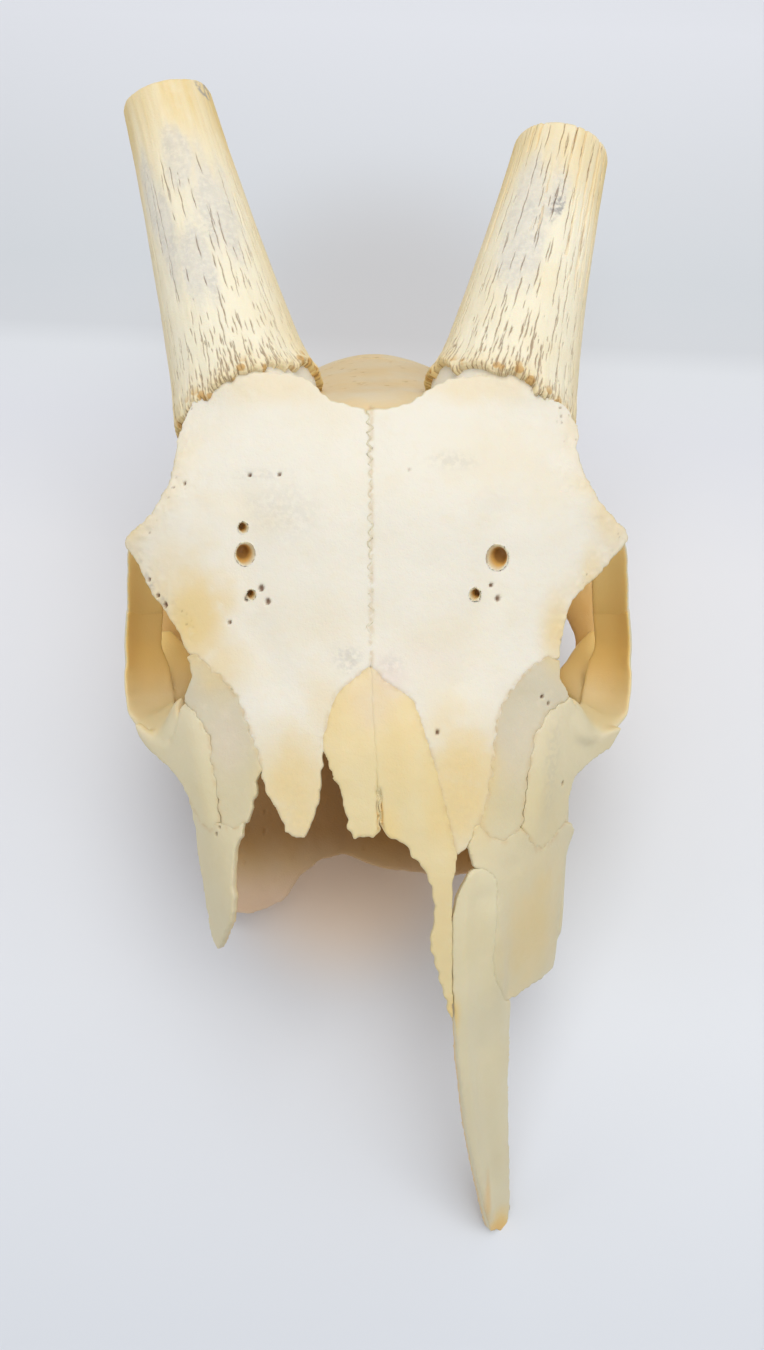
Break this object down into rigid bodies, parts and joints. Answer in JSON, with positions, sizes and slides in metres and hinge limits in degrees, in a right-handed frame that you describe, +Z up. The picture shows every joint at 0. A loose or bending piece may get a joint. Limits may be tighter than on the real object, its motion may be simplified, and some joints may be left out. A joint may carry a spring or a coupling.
{
  "type": "antelope skull model",
  "caption": "Still model of a weathered antelope skull with sawn horn cores, for display lying face up, resting on the snout tip and the base of the braincase.",
  "frame": {"origin": "centre of the bounding box on the floor plane that the skull rests on", "axes": "-Y towards the snout, +Y towards the tips of the horns, +X the skull's left side, +Z up out of the face"},
  "size_m": [0.1746, 0.3526, 0.1823],
  "materials": {
    "frontal_bone": "smooth ivory bone, pitted at the margins",
    "horn_core_bone": "porous bone with fine lengthwise grooves",
    "nasal_bone": "smooth yellowed bone with broken edges",
    "lacrimal_bone": "pale pinkish bone",
    "jugal_bone": "ivory bone, tan on its inner faces",
    "maxilla_bone": "ivory bone with small pores",
    "premaxilla_bone": "greenish ivory bone, brown at its tip",
    "braincase_bone": "weathered ivory bone"
  },
  "bodies": {
    "root": {"frontal_left": "frontal_bone", "frontal_right": "frontal_bone", "horn_core_left": "horn_core_bone", "horn_core_right": "horn_core_bone", "nasal_left": "nasal_bone", "nasal_right": "nasal_bone", "lacrimal_left": "lacrimal_bone", "lacrimal_right": "lacrimal_bone", "jugal_left": "jugal_bone", "jugal_right": "jugal_bone", "maxilla_left": "maxilla_bone", "maxilla_right": "maxilla_bone", "premaxilla_left": "premaxilla_bone", "palatine": "braincase_bone", "sphenoid": "braincase_bone", "occipital": "braincase_bone", "parietal": "braincase_bone", "temporal_left": "braincase_bone", "temporal_right": "braincase_bone"}
  },
  "joints": []
}
